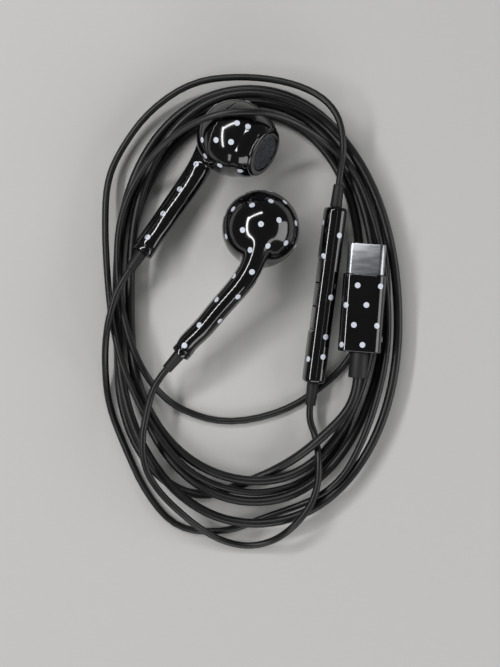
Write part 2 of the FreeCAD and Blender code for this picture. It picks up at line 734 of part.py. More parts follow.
def laid(place, turn, tilt, roll):
    # lies along Y: rolled about its own axis, then its front end tilted up, then turned on the surface
    turned_up = FreeCAD.Rotation(Vector(1, 0, 0), tilt).multiply(FreeCAD.Rotation(Vector(0, 1, 0), roll))
    return FreeCAD.Placement(Vector(*place), FreeCAD.Rotation(Vector(0, 0, 1), turn).multiply(turned_up))


def main():
    pieces = {}
    near, left = bud_frames()
    right_pieces = bud_pieces()
    left_pieces = {}
    for name, shape in right_pieces.items():
        left_pieces[name] = shape.mirror(Vector(0, 0, 0), Vector(1, 0, 0))
    near = rested(near, [right_pieces["front_shell"], right_pieces["stem_cap"]])
    left = rested(left, [left_pieces["front_shell"], left_pieces["rear_shell"], left_pieces["stem_cap"]])
    print("near bud rests with its centre at", near.Base, "left bud", left.Base)
    for name, shape in right_pieces.items():
        pieces["right_" + name] = placed(shape, near)
    for name, shape in left_pieces.items():
        pieces["left_" + name] = placed(shape, left)

    remote = laid(remote_place, remote_turn, remote_tilt, remote_roll)
    for name, shape in remote_pieces().items():
        pieces[name] = placed(shape, remote)
    plug = laid(plug_place, plug_turn, 0.0, plug_roll)
    for name, shape in plug_pieces().items():
        pieces[name] = placed(shape, plug)
    pieces["y_split"] = placed(split_piece(), FreeCAD.Placement(Vector(*split_place), FreeCAD.Rotation()))

    bud_tip = -stem_length - bud_boot_length
    remote_tip = remote_length / 2.0 + remote_boot_length
    plug_tip = -plug_length / 2.0 - plug_boot_length
    down = Vector(0, -1, 0)
    right_end = lead_out(near, Vector(stem_side, bud_tip, stem_height), down, 4.0)
    left_end = lead_out(left, Vector(-stem_side, bud_tip, stem_height), down, 4.0)
    upper_end = lead_out(remote, Vector(0, remote_tip, 0), Vector(0, 1, 0), 3.1)
    lower_end = lead_out(remote, Vector(0, -remote_tip, 0), down, 3.0)
    plug_end = lead_out(plug, Vector(0, plug_tip, 0), down, 3.0)
    split_foot = split_place[1] - split_length / 2.0
    leads = []
    for side in (-1, 1):
        x = split_place[0] + side * lead_spacing / 2.0
        leads.append([Vector(x, split_foot, 0.85), Vector(x, split_foot - 3.0, 0.8)])
    coil_start = Vector(coil_left[0], coil_left_straight[0], coil_left_height[0])

    routes = {
        "plug_lead": (list(plug_end) + plug_lead_route + [coil_start], main_cord),
        "left_lead": (leads[0] + left_lead_route + list(reversed(left_end)), thin_cord),
        "right_lead": (leads[1] + right_lead_route + list(reversed(upper_end)), thin_cord),
        "remote_lead": (list(lower_end) + remote_lead_route + list(reversed(right_end)), thin_cord),
    }
    paths = {}
    for name, (points, diameter) in routes.items():
        path, radii = stretch_path(points)
        paths[name] = (path, diameter)
        pieces[name] = tube(path, diameter)
        print(name, "length", round(path.Length, 1), "radii", [round(radius, 1) for radius in radii])
    coil = coil_path()
    paths["main_cord_coil"] = (coil, main_cord)
    pieces["main_cord_coil"] = tube(coil, main_cord)
    print("main_cord_coil length", round(coil.Length, 1), "least self gap",
          round(least_self_gap(coil, main_cord), 2))
    for name, (path, diameter) in paths.items():
        expected = math.pi * diameter * diameter / 4.0 * path.Length
        print(name, "volume", round(pieces[name].Volume, 1), "of", round(expected, 1))
    return pieces, paths


if __name__ == "__main__":
    model, cords = main()
    for name, shape in model.items():
        shape.translate(Vector(*layout_shift))
        shape.exportStep("parts/" + name + ".step")
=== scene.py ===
import json
import math
import bmesh
import bpy
from mathutils import Matrix, Vector
from mathutils.bvhtree import BVHTree


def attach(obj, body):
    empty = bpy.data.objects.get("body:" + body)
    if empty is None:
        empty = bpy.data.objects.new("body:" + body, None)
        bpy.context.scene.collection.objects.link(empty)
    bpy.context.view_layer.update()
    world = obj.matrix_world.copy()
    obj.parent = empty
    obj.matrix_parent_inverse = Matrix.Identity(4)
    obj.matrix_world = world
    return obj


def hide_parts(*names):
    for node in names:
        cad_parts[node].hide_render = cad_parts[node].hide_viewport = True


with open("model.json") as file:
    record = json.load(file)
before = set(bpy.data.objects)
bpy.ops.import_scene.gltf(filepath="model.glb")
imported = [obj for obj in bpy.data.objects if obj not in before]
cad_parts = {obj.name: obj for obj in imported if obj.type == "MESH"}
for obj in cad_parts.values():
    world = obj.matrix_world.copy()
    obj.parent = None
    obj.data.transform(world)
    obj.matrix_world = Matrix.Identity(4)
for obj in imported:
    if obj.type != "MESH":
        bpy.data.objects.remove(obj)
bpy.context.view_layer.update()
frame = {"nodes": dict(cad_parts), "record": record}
nodes = frame["nodes"]
mainBody = "earphones"
mirrors = {"right": 1.0, "left": -1.0}  # the left bud is the right one mirrored across its own x

# Layout millimetres, as the routes are written, to metres in the part's own frame
layoutShift = Vector((3.38, -14.66, 0.0))
layoutToPart = Matrix.Diagonal((0.001, 0.001, 0.001, 1.0)) @ Matrix.Translation(layoutShift)


def inPart(point):
    return layoutToPart @ Vector(point)


def metres(millimetres):
    return millimetres / 1000.0


# Camera, straight above and square to the surface, placed in layout millimetres
cameraSettings = {"above": (-0.44, -2.78, 360.0), "lens": 87.43, "sensor": 36.0, "clipStart": 0.01}
cameraData = bpy.data.cameras.new("topCamera")
cameraData.lens = cameraSettings["lens"]
cameraData.sensor_width = cameraSettings["sensor"]
cameraData.clip_start = cameraSettings["clipStart"]
camera = bpy.data.objects.new("topCamera", cameraData)
camera.location = inPart(cameraSettings["above"])
bpy.context.collection.objects.link(camera)
bpy.context.scene.camera = camera
print("camera ready")


# Materials
def toLinear(code):
    # sRGB hex to linear colour
    parts = [int(code[at:at + 2], 16) / 255 for at in (0, 2, 4)]
    return tuple(p / 12.92 if p <= 0.04045 else ((p + 0.055) / 1.055) ** 2.4 for p in parts) + (1.0,)


def addNode(tree, kind, settings=None, inputs=None):
    # one node, its own settings, and its inputs as values or as sockets to link from
    node = tree.nodes.new(kind)
    for name, value in (settings or {}).items():
        setattr(node, name, value)
    for name, value in (inputs or {}).items():
        if isinstance(value, bpy.types.NodeSocket):
            tree.links.new(value, node.inputs[name])
        else:
            node.inputs[name].default_value = value
    return node


def startMaterial(name):
    material = bpy.data.materials.new(name)
    material.use_nodes = True
    tree = material.node_tree
    tree.nodes.clear()
    coords = addNode(tree, "ShaderNodeTexCoord")
    return material, tree, coords.outputs["Object"]


def endMaterial(tree, colour, roughness, normal, fixed):
    shader = addNode(tree, "ShaderNodeBsdfPrincipled", {}, fixed)
    tree.links.new(colour, shader.inputs["Base Color"])
    tree.links.new(roughness, shader.inputs["Roughness"])
    tree.links.new(normal, shader.inputs["Normal"])
    addNode(tree, "ShaderNodeOutputMaterial", {}, {"Surface": shader.outputs["BSDF"]})


grainSettings = {
    "patches": {"Detail": 3.0, "Roughness": 0.55},
    "grain": {"Detail": 2.0, "Roughness": 0.6},
    "darkBelow": 0.3, "lightAbove": 0.7,
}


def noise(tree, coords, sizeMm, inputs):
    scale = 1.0 / metres(sizeMm)
    node = addNode(tree, "ShaderNodeTexNoise", {}, {"Vector": coords, "Scale": scale, **inputs})
    return node.outputs["Fac"]


def grainyMaterial(name, look, s):
    # colour and roughness wander with one grain, the surface rises and falls with a finer one
    material, tree, coords = startMaterial(name)
    stretch = addNode(tree, "ShaderNodeMapping", {"vector_type": "POINT"},
                      {"Vector": coords, "Scale": look.get("stretch", (1.0, 1.0, 1.0))}).outputs["Vector"]
    patches = noise(tree, stretch, look["patchMm"], s["patches"])
    grain = noise(tree, stretch, look["grainMm"], s["grain"])
    ramp = addNode(tree, "ShaderNodeValToRGB", {}, {"Fac": patches})
    dark, light = ramp.color_ramp.elements
    dark.position = s["darkBelow"]
    dark.color = toLinear(look["dark"])
    light.position = s["lightAbove"]
    light.color = toLinear(look["light"])
    smoothest, roughest = look["roughness"]
    rough = addNode(tree, "ShaderNodeMapRange", {},
                    {"Value": patches, "From Min": s["darkBelow"], "From Max": s["lightAbove"],
                     "To Min": smoothest, "To Max": roughest})
    bump = addNode(tree, "ShaderNodeBump", {},
                   {"Height": grain, "Strength": look["bump"], "Distance": metres(look["reliefMm"])})
    endMaterial(tree, ramp.outputs["Color"], rough.outputs["Result"], bump.outputs["Normal"],
                look["shader"])
    return material


looks = {
    # ABS, moulded and lacquered black: mirror-like with a faint orange peel
    "lacqueredAbs": {
        "dark": "050506", "light": "08080A", "roughness": (0.09, 0.14), "patchMm": 6.0, "grainMm": 0.9,
        "bump": 0.05, "reliefMm": 0.02,
        "shader": {"IOR": 1.52, "Coat Weight": 0.6, "Coat Roughness": 0.04}},
    # thermoplastic elastomer, extruded: satin skin with a fine drawn grain
    "extrudedElastomer": {
        "dark": "0A0A0B", "light": "111112", "roughness": (0.36, 0.46), "patchMm": 5.0, "grainMm": 0.35,
        "bump": 0.12, "reliefMm": 0.02, "shader": {"IOR": 1.5}},
    # the same elastomer, moulded in a spark-eroded tool: duller and a little coarser
    "mouldedElastomer": {
        "dark": "0D0D0E", "light": "141415", "roughness": (0.52, 0.62), "patchMm": 3.0, "grainMm": 0.25,
        "bump": 0.25, "reliefMm": 0.02, "shader": {"IOR": 1.5}},
    # pad-printed ink: an even film, less glossy than the lacquer under it
    "padPrintedInk": {
        "dark": "D2D8E6", "light": "DEE3EE", "roughness": (0.3, 0.4), "patchMm": 0.8, "grainMm": 0.15,
        "bump": 0.1, "reliefMm": 0.005, "shader": {"IOR": 1.5}},
    # stainless steel, brushed across: long scratches that pull the highlight out sideways
    "brushedStainless": {
        "dark": "96989D", "light": "B2B4B8", "roughness": (0.26, 0.36), "patchMm": 1.2, "grainMm": 0.3,
        "stretch": (0.12, 1.0, 1.0), "bump": 0.2, "reliefMm": 0.01, "shader": {"Metallic": 1.0}},
    # woven steel wire, blackened: dull grey metal with brighter crowns
    "blackenedWire": {
        "dark": "4E5055", "light": "77797E", "roughness": (0.3, 0.45), "patchMm": 0.8, "grainMm": 0.1,
        "bump": 0.1, "reliefMm": 0.005, "shader": {"Metallic": 1.0}},
    # polyester cloth, dyed black: the acoustic screen behind the wires, swallows the light
    "acousticCloth": {
        "dark": "070708", "light": "0D0D0E", "roughness": (0.8, 0.9), "patchMm": 0.5, "grainMm": 0.1,
        "bump": 0.4, "reliefMm": 0.02, "shader": {"IOR": 1.45}},
    # nylon, moulded: dark grey with a dull sheen
    "mouldedNylon": {
        "dark": "3A3A3D", "light": "47474A", "roughness": (0.45, 0.55), "patchMm": 2.0, "grainMm": 0.3,
        "bump": 0.15, "reliefMm": 0.01, "shader": {"IOR": 1.53}},
    # steel, nickel plated: bright and slightly warm
    "nickelPlate": {
        "dark": "B5B3AC", "light": "CBC9C2", "roughness": (0.18, 0.28), "patchMm": 1.0, "grainMm": 0.2,
        "bump": 0.05, "reliefMm": 0.005, "shader": {"Metallic": 1.0}},
    # gold plate over nickel: smooth yellow contacts
    "goldPlate": {
        "dark": "D9A441", "light": "E8BB5E", "roughness": (0.15, 0.25), "patchMm": 0.6, "grainMm": 0.1,
        "bump": 0.05, "reliefMm": 0.003, "shader": {"Metallic": 1.0}},
    # copper wire, enamelled: fine windings under a glassy coat
    "enamelledCopper": {
        "dark": "8A3F20", "light": "B4592F", "roughness": (0.2, 0.3), "patchMm": 0.4, "grainMm": 0.08,
        "stretch": (1.0, 1.0, 3.0), "bump": 0.3, "reliefMm": 0.02,
        "shader": {"Metallic": 1.0, "Coat Weight": 0.5}},
    # polymer film, hot formed: thin and silvery grey
    "formedFilm": {
        "dark": "8D8F8E", "light": "9FA19F", "roughness": (0.25, 0.35), "patchMm": 1.5, "grainMm": 0.3,
        "bump": 0.05, "reliefMm": 0.005, "shader": {"IOR": 1.6}},
    # cellulose fibre, pressed: soft off-white felt
    "pressedFelt": {
        "dark": "B9B4A8", "light": "D0CCC2", "roughness": (0.85, 0.95), "patchMm": 0.6, "grainMm": 0.12,
        "bump": 0.6, "reliefMm": 0.05, "shader": {"IOR": 1.45, "Sheen Weight": 0.3}},
    # glass fibre laminate with solder mask: satin green with the weave just showing
    "solderMaskLaminate": {
        "dark": "0E3B22", "light": "16502F", "roughness": (0.3, 0.4), "patchMm": 0.8, "grainMm": 0.4,
        "bump": 0.1, "reliefMm": 0.01, "shader": {"IOR": 1.55}},
    # epoxy, transfer moulded: matte black chip body
    "mouldedEpoxy": {
        "dark": "161617", "light": "202022", "roughness": (0.5, 0.6), "patchMm": 0.8, "grainMm": 0.08,
        "bump": 0.3, "reliefMm": 0.01, "shader": {"IOR": 1.55}},
}
slotLooks = {
    "gloss_black_shell": "lacqueredAbs", "satin_elastomer": "mouldedElastomer",
    "cord_elastomer": "extrudedElastomer", "woven_mesh": "blackenedWire",
    "moulded_plastic": "mouldedNylon", "plated_steel": "nickelPlate", "plug_steel": "brushedStainless",
    "gold_plate": "goldPlate", "copper_wire": "enamelledCopper", "diaphragm_film": "formedFilm",
    "felt_paper": "pressedFelt", "circuit_board": "solderMaskLaminate", "chip_resin": "mouldedEpoxy",
}
materials = {name: grainyMaterial(name, look, grainSettings) for name, look in looks.items()}
slotOf = {part["node"]: part["material_slot"] for part in frame["record"]["subparts"]}
for nodeName, node in nodes.items():
    node.data.materials.clear()
    node.data.materials.append(materials[slotLooks[slotOf[nodeName]]])
for side in mirrors:
    nodes[side + "_grille"].data.materials[0] = materials["acousticCloth"]  # the cloth behind the wires
print("materials ready:", len(materials))

# Cords, with diameters in metres and control points in layout millimetres
cordSettings = {"mainDiameter": 0.002, "thinDiameter": 0.0015, "bevelSteps": 3, "stepsBetweenPoints": 4}


def cordCurve(name, points, diameter, s):
    curve = bpy.data.curves.new(name, "CURVE")
    curve.dimensions = "3D"
    curve.bevel_depth = diameter / 2
    curve.bevel_resolution = s["bevelSteps"]
    curve.resolution_u = s["stepsBetweenPoints"]
    curve.use_fill_caps = True
    spline = curve.splines.new("NURBS")
    spline.points.add(len(points) - 1)
    for target, point in zip(spline.points, points):
        target.co = inPart(point).to_4d()
    spline.order_u = 3
    spline.use_endpoint_u = True
    curve.materials.append(materials["extrudedElastomer"])
    cord = bpy.data.objects.new(name, curve)
    bpy.context.collection.objects.link(cord)
    return cord


# where each turn of the coil passes on its four sides, and how high it lies there
coilSettings = {
    "left": (-29.85, -26.8, -29.75, -27.1), "leftHeight": (1.0, 3.65, 3.6, 1.0), "straight": (-2.0, 11.2),
    "top": (48.87, 50.15, 51.4, 46.25), "topAcross": (-0.4, -0.4, -0.4, -0.4),
    "topHeight": (1.0, 5.5, 2.9, 1.0),
    "right": (27.4, 32.4, 30.0, 24.1), "rightAlong": (6.8, -0.2, 6.8, 12.5),
    "rightHeight": (2.6, 3.6, 1.0, 1.0),
    "bottom": (-35.5, -44.9, -40.1), "bottomAcross": (1.8, 0.9, 0.9), "bottomHeight": (3.7, 3.5, 3.7),
    "pointsPerQuarter": 6, "fullness": 2.1, "splitTop": (24.1, 9.9, 1.0),
}


def quarterPoints(start, end, startsUpright, s):
    # control points of a quarter turn, from start to just before end
    points = []
    power = 2.0 / s["fullness"]
    for step in range(s["pointsPerQuarter"]):
        share = step / s["pointsPerQuarter"]
        turn = 0.5 * math.pi * share
        slow = 1.0 - math.cos(turn) ** power
        fast = math.sin(turn) ** power
        shareX, shareY = (slow, fast) if startsUpright else (fast, slow)
        lift = share * share * (3.0 - 2.0 * share)  # level at both ends
        points.append((start[0] + (end[0] - start[0]) * shareX, start[1] + (end[1] - start[1]) * shareY,
                       start[2] + (end[2] - start[2]) * lift))
    return points


def coilPoints(s):
    points = []
    low, high = s["straight"]
    for turn in range(len(s["left"])):
        leftLow = (s["left"][turn], low, s["leftHeight"][turn])
        leftHigh = (s["left"][turn], high, s["leftHeight"][turn])
        top = (s["topAcross"][turn], s["top"][turn], s["topHeight"][turn])
        right = (s["right"][turn], s["rightAlong"][turn], s["rightHeight"][turn])
        points.append(leftLow)
        points += quarterPoints(leftHigh, top, True, s)
        points += quarterPoints(top, right, False, s)
        if turn < len(s["bottom"]):
            bottom = (s["bottomAcross"][turn], s["bottom"][turn], s["bottomHeight"][turn])
            nextLeft = (s["left"][turn + 1], low, s["leftHeight"][turn + 1])
            points += quarterPoints(right, bottom, True, s)
            points += quarterPoints(bottom, nextLeft, False, s)
        else:
            points += [right, s["splitTop"]]
    return points


plugLeadRoute = [
    (22.96, -12.46, 7.2), (22.73, -15.45, 7.2),
    (20.6, -20.2, 7.1), (15.4, -25.3, 7.0), (10.0, -29.9, 5.1), (4.0, -33.6, 1.3), (-1.6, -35.9, 1.0),
    (-8.4, -38.6, 1.0), (-15.1, -38.2, 1.0), (-21.5, -33.9, 1.0), (-26.6, -26.2, 1.0),
    (-29.3, -17.0, 1.0), (-29.6, -8.8, 1.0),
]
leftLeadRoute = [
    (23.1, -1.1, 0.85), (23.1, -4.1, 0.8), (22.0, -8.0, 0.75), (17.2, -13.4, 0.75), (7.4, -20.2, 0.75),
    (-5.9, -23.0, 0.75), (-16.6, -19.5, 0.8), (-22.0, -14.2, 3.8), (-25.8, -7.2, 6.0), (-28.4, 1.6, 5.8),
    (-29.6, 11.0, 5.75), (-29.3, 20.5, 5.9), (-26.8, 28.2, 6.1), (-21.8, 36.0, 8.6), (-15.2, 41.0, 12.6),
    (-8.6, 43.6, 16.2), (-3.0, 44.2, 17.7), (3.4, 44.2, 15.9), (9.6, 42.6, 11.0), (15.8, 39.3, 6.0),
    (22.0, 34.0, 4.5), (25.7, 26.0, 4.6), (28.5, 16.0, 4.1), (30.0, 4.0, 3.7), (29.9, -5.9, 3.6),
    (28.2, -14.8, 3.8), (25.3, -24.1, 4.3), (20.9, -33.2, 4.9), (16.3, -37.7, 4.2), (11.5, -40.5, 1.6),
    (2.7, -43.6, 0.75), (-5.8, -46.9, 0.75), (-16.4, -46.4, 0.75), (-23.4, -38.6, 0.75),
    (-28.4, -27.5, 0.75), (-31.9, -18.5, 0.75), (-32.4, -9.6, 3.9), (-31.7, -2.4, 8.2), (-30.3, 3.4, 9.0),
    (-28.81, 7.76, 8.51), (-26.6, 11.03, 7.85),
]
rightLeadRoute = [
    (25.1, -1.1, 0.85), (25.1, -4.1, 0.8), (23.7, -11.5, 0.75), (22.6, -19.5, 0.75), (19.8, -27.4, 0.75),
    (14.6, -33.4, 0.8), (9.6, -36.3, 2.1), (4.0, -37.7, 3.1), (-1.3, -37.9, 3.5), (-8.6, -36.0, 3.8),
    (-14.0, -32.9, 5.1), (-18.2, -28.4, 5.6), (-22.6, -22.0, 6.0), (-26.0, -15.5, 6.0), (-28.8, -8.5, 5.8),
    (-30.8, 0.5, 5.7), (-31.8, 11.3, 5.5), (-32.3, 21.1, 4.6), (-32.0, 30.6, 3.6), (-29.1, 37.5, 3.2),
    (-22.9, 46.1, 3.6), (-13.3, 52.6, 4.4), (-2.5, 53.7, 4.9), (7.6, 52.5, 5.4), (15.2, 49.2, 6.6),
    (19.2, 44.2, 7.6), (20.0, 37.2, 8.1), (19.39, 32.85, 5.6), (19.0, 29.78, 5.46),
]
remoteLeadRoute = [
    (12.8, -18.58, 3.34), (12.42, -21.55, 3.2), (14.0, -25.2, 2.9), (14.7, -30.9, 6.3), (14.4, -36.1, 6.3),
    (12.9, -40.1, 6.4), (10.9, -43.0, 6.4), (8.3, -45.8, 5.5), (4.8, -48.6, 2.4), (-0.5, -50.1, 0.75),
    (-6.1, -48.9, 1.6), (-10.8, -46.2, 3.4), (-15.6, -42.1, 5.7), (-20.3, -37.4, 6.8), (-23.4, -32.2, 7.7),
    (-24.0, -26.0, 8.6), (-22.8, -19.2, 8.1), (-21.14, -13.52, 7.43), (-18.54, -10.55, 8.13),
]
mainRoute = plugLeadRoute + coilPoints(coilSettings)
mainCord = cordCurve("mainCord", mainRoute, cordSettings["mainDiameter"], cordSettings)
leftLead = cordCurve("leftLead", leftLeadRoute, cordSettings["thinDiameter"], cordSettings)
rightLead = cordCurve("rightLead", rightLeadRoute, cordSettings["thinDiameter"], cordSettings)
remoteLead = cordCurve("remoteLead", remoteLeadRoute, cordSettings["thinDiameter"], cordSettings)
print("cords ready")

# Frames of the buds, the remote and the plug, in layout millimetres and degrees
budSettings = {
    "right": {"middle": (1.9, 19.9, 8.854), "stemWay": (-0.66, -0.753), "droop": 10.0},
    "left": {"middle": (-3.6, 39.6, 8.45), "stemWay": (-0.56, -0.83), "rise": 9.5, "nozzleRise": 25.0},
}
remoteSettings = {"middle": (15.9, 5.6, 4.4), "turn": -7.3, "tilt": 2.5, "roll": -76.0}
plugSettings = {"middle": (24.0, 1.6, 7.2), "turn": -4.25, "tilt": 0.0, "roll": -10.0}
upWay = Vector((0.0, 0.0, 1.0))


def budFrame(stemWay, backWay, middle):
    # x across the stem, y against the way the stem points, z out of the back of the head
    turn = Matrix(((-stemWay).cross(backWay), -stemWay, backWay)).transposed().to_4x4()
    return layoutToPart @ Matrix.Translation(Vector(middle)) @ turn


def rightBudFrame(s):
    # the back of the head looks up, the stem's end droops
    along = Vector(s["stemWay"] + (0.0,)).normalized()
    droop = math.radians(s["droop"])
    stemWay = along * math.cos(droop) - upWay * math.sin(droop)
    backWay = along * math.sin(droop) + upWay * math.cos(droop)
    return budFrame(stemWay, backWay, s["middle"])


def leftBudFrame(s):
    # the nozzle looks sideways and a little up, the stem's end is raised
    along = Vector(s["stemWay"] + (0.0,)).normalized()
    rise = math.radians(s["rise"])
    tip = math.radians(s["nozzleRise"])
    stemWay = along * math.cos(rise) + upWay * math.sin(rise)
    sideways = upWay.cross(along).normalized()
    nozzleWay = sideways * math.cos(tip) + stemWay.cross(sideways) * math.sin(tip)
    return budFrame(stemWay, -nozzleWay, s["middle"])


def lyingFrame(s):
    spin = (Matrix.Rotation(math.radians(s["turn"]), 4, "Z")
            @ Matrix.Rotation(math.radians(s["tilt"]), 4, "X")
            @ Matrix.Rotation(math.radians(s["roll"]), 4, "Y"))
    return layoutToPart @ Matrix.Translation(Vector(s["middle"])) @ spin


budFrames = {"right": rightBudFrame(budSettings["right"]), "left": leftBudFrame(budSettings["left"])}
remoteFrame = lyingFrame(remoteSettings)
plugFrame = lyingFrame(plugSettings)


# Pieces finished from the CAD solids
def addPiece(piece, slotName, *replaced):
    # a key rides on its own body, which has its node's name
    isKey = bool(replaced) and replaced[0].endswith("_button")
    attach(piece, replaced[0] if isKey else mainBody)
    if replaced:
        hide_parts(*replaced)
    return piece


def meshObject(name, mesh, material):
    mesh.name = name
    mesh.materials.clear()
    mesh.materials.append(material)
    piece = bpy.data.objects.new(name, mesh)
    bpy.context.collection.objects.link(piece)
    return piece


def camelName(nodeName):
    first, *others = nodeName.split("_")
    return first + "".join(word.capitalize() for word in others)


edgeSettings = {"joinMm": 0.002, "flatAngle": 0.6, "bevelAngle": 32.0, "segments": 2, "sharpAngle": 40.0}


def mergedCopy(nodeName, s):
    # the node's own faces, joined, with its flat areas as single faces
    mesh = nodes[nodeName].data.copy()
    work = bmesh.new()
    work.from_mesh(mesh)
    bmesh.ops.remove_doubles(work, verts=work.verts, dist=metres(s["joinMm"]))
    bmesh.ops.dissolve_limit(work, angle_limit=math.radians(s["flatAngle"]), verts=work.verts,
                             edges=work.edges)
    for face in work.faces:
        face.smooth = True
    work.to_mesh(mesh)
    work.free()
    return mesh


def settled(piece):
    # the modifiers' result as a plain mesh
    graph = bpy.context.evaluated_depsgraph_get()
    shown = piece.evaluated_get(graph)
    mesh = bpy.data.meshes.new_from_object(shown, preserve_all_data_layers=True, depsgraph=graph)
    piece.modifiers.clear()
    piece.data = mesh
    return piece


def softenedCopy(nodeName, widthMm, s):
    material = materials[slotLooks[slotOf[nodeName]]]
    piece = meshObject(camelName(nodeName), mergedCopy(nodeName, s), material)
    bevel = piece.modifiers.new("edges", "BEVEL")
    bevel.width = metres(widthMm)
    bevel.segments = s["segments"]
    bevel.limit_method = "ANGLE"
    bevel.angle_limit = math.radians(s["bevelAngle"])
    bevel.use_clamp_overlap = True
    settled(piece)
    piece.data.set_sharp_from_angle(angle=math.radians(s["sharpAngle"]))
    return addPiece(piece, slotOf[nodeName], nodeName)


# width of each piece's softened edges in millimetres
edgeWidths = {
    "right_front_shell": 0.08, "left_front_shell": 0.08, "right_stem_cap": 0.12, "left_stem_cap": 0.12,
    "right_boot": 0.15, "left_boot": 0.15, "remote_rear_cover": 0.06, "remote_front_cover": 0.06,
    "volume_down_button": 0.1, "play_button": 0.1, "volume_up_button": 0.1,
    "remote_upper_boot": 0.15, "remote_lower_boot": 0.15, "plug_housing": 0.08, "plug_metal_shell": 0.1,
    "plug_boot": 0.1, "plug_contact_carrier": 0.05, "y_split": 0.2,
}
finished = {
    nodeName: softenedCopy(nodeName, width, edgeSettings)
    for nodeName, width in edgeWidths.items()
}
print("finished pieces:", len(finished))

# Rear shells, in the bud's own millimetres
shellSettings = {
    "voxelMm": 0.2, "factor": 0.5, "evenRounds": 8,
    "flowRounds": 220, "flowReach": 7.0, "flowGain": 1.8, "flowAt": ((1.6, 0.0, 7.2), (2.9, -4.5, 6.6)),
}


def blendedShell(side, s):
    # the stem flows out of the dome without a crease
    nodeName = side + "_rear_shell"
    piece = meshObject(camelName(nodeName), mergedCopy(nodeName, edgeSettings), materials["lacqueredAbs"])
    remesh = piece.modifiers.new("skin", "REMESH")
    remesh.mode = "VOXEL"
    remesh.voxel_size = metres(s["voxelMm"])
    remesh.use_smooth_shade = True
    settled(piece)
    group = piece.vertex_groups.new(name="flow")
    mirror = Vector((mirrors[side], 1.0, 1.0))
    centres = [budFrames[side] @ (Vector(at) * mirror) for at in s["flowAt"]]
    reach = metres(s["flowReach"])
    for vertex in piece.data.vertices:
        near = min((vertex.co - centre).length for centre in centres)
        if near < reach:
            group.add([vertex.index], min(1.0, s["flowGain"] * (1.0 - near / reach)), "REPLACE")
    flow = piece.modifiers.new("flow", "SMOOTH")
    flow.factor = s["factor"]
    flow.iterations = s["flowRounds"]
    flow.vertex_group = "flow"
    even = piece.modifiers.new("even", "SMOOTH")
    even.factor = s["factor"]
    even.iterations = s["evenRounds"]
    settled(piece)
    return addPiece(piece, slotOf[nodeName], nodeName)


rearShells = {side: blendedShell(side, shellSettings) for side in mirrors}
print("bud shells ready")

# Printed dots, in the millimetres of the bud, remote or plug that they are on
dotSettings = {
    "radiusMm": 0.62, "sides": 20, "liftMm": 0.012, "startMm": 1.5, "reachMm": 4.0,
    "grazing": 0.3, "apart": 3.3, "turnedAway": 0.25, "pixelsPerMm": 4.5, "viewMiddle": (250.0, 333.5),
    "headPitch": 4.2, "headRowPitch": 4.8, "headTurn": 52.9, "headAnchor": (-0.7, 2.24), "headReach": 2.2,
    "headRows": 5, "headColumns": 6, "headRadius": 8.45, "headStart": 20.0,
    "stemSide": 4.7, "stemHeight": 5.6, "stemPitch": 6.6, "stemStart": -7.6, "stemEnd": -30.6,
    "stemAngles": (40.0, 130.0, 220.0, 310.0), "sideStart": 12.0,
    "boxPitch": 4.25, "boxAround": 6, "plugHalf": 8.0, "remoteHalf": 18.0,
}
# the dots that the camera sees, as pixels of a 500 by 667 view
seenDots = {
    "right": [(233, 209), (252, 205), (271, 201), (285, 202), (279, 220), (296, 223), (242.5, 230),
              (226, 236.5), (261, 224), (268, 246), (286, 243), (250, 250), (252, 272), (234, 276),
              (216.5, 299.5), (238, 297), (199, 325), (184.4, 345.4), (220, 321), (199, 347)],
    "left": [(196, 164), (179.5, 189), (163, 213.5), (147.5, 237), (202, 140), (216, 140), (231, 142),
             (237, 123), (248, 126.5), (219.7, 165.5), (240, 171), (205, 156)],
    "plug": [(357.7, 285.3), (380.7, 286.4), (345.8, 305), (366.4, 305), (353.9, 324.9), (377, 325.8),
             (341.4, 344.6), (362.4, 344.9)],
    "remote": [(339.6, 235.5), (323.2, 256), (331.0, 297.5), (325.8, 337), (308, 359), (323.2, 357)],
}


def surfaceTree(piece):
    return BVHTree.FromObject(piece, bpy.context.evaluated_depsgraph_get())


def firstHit(tree, ray, s):
    # where a ray first meets a surface and the normal there, or nothing if it only grazes it
    start, way = ray
    place, normal = tree.ray_cast(start, way)[:2]
    if place is not None and normal.dot(way) < -s["grazing"]:
        return place, normal
    return None


def framedRays(matrix, rays):
    return [(matrix @ Vector(start), (matrix.to_3x3() @ Vector(way)).normalized()) for start, way in rays]


def viewRays(s, pixels):
    # from the camera through pixels of the view
    across, along = cameraSettings["above"][:2]
    rays = []
    for px, py in pixels:
        x = across + (px - s["viewMiddle"][0]) / s["pixelsPerMm"]
        y = along + (s["viewMiddle"][1] - py) / s["pixelsPerMm"]
        rays.append((camera.location, (inPart((x, y, 0.0)) - camera.location).normalized()))
    return rays


def nearestHits(targets, rays, s):
    # each ray marks only the first of the pieces that it meets
    trees = {name: surfaceTree(target) for name, target in targets.items()}
    marked = {name: [] for name in targets}
    for ray in rays:
        hits = {name: firstHit(tree, ray, s) for name, tree in trees.items()}
        met = [name for name in hits if hits[name]]
        if met:
            nearest = min(met, key=lambda name: (hits[name][0] - ray[0]).length)
            marked[nearest].append(hits[nearest])
    return marked


def withHiddenSides(seen, others, s):
    # the lattice keeps to the sides turned away from the view and clear of the dots already there
    kept = list(seen)
    for place, normal in others:
        clear = all((place - there).length > metres(s["apart"]) for there, facing in kept)
        if normal.z < s["turnedAway"] and clear:
            kept.append((place, normal))
    return kept


